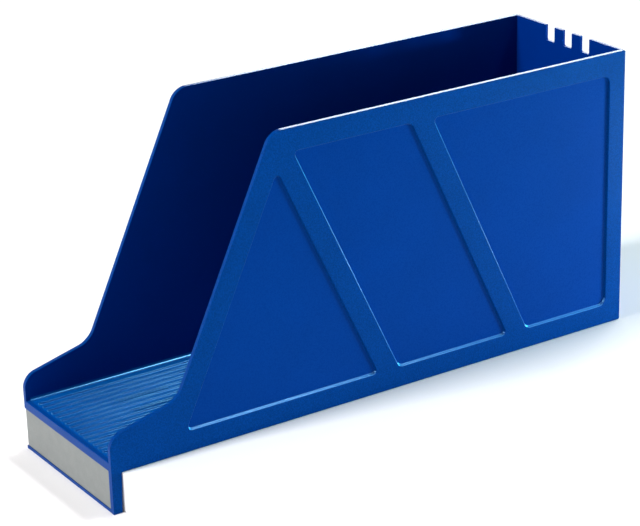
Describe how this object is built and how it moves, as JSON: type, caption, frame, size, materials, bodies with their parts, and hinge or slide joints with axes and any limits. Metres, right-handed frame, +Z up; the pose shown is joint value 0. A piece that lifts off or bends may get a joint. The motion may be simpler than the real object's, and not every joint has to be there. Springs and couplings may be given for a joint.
{
  "type": "magazine file holder",
  "caption": "Landscape desktop magazine file with a low slanted front, ribbed floor, notched back wall and a sliding label card in a lip that hangs over the shelf edge.",
  "frame": {"origin": "centre of the footprint, level with the lower edge of the label front; the shelf that the holder stands on is at Z = 0.0227", "axes": "+Z up, +Y from the label front to the back wall, +X across the width, to the right of a person facing the label"},
  "size_m": [0.097, 0.336, 0.1847],
  "materials": {
    "blue_polystyrene": "moulded, fine spark-eroded grain on the borders, satin fields",
    "grey_label_card": "matte uncoated card"
  },
  "bodies": {
    "holder": {"right_side_panel": "blue_polystyrene", "left_side_panel": "blue_polystyrene", "back_panel": "blue_polystyrene", "ribbed_floor": "blue_polystyrene", "label_front": "blue_polystyrene"},
    "card": {"label_card": "grey_label_card"}
  },
  "joints": [
    {"name": "label_card_slide", "type": "slide", "parent": "holder", "child": "card", "axis": [-1, 0, 0], "range_m": [0, 0.09]}
  ]
}
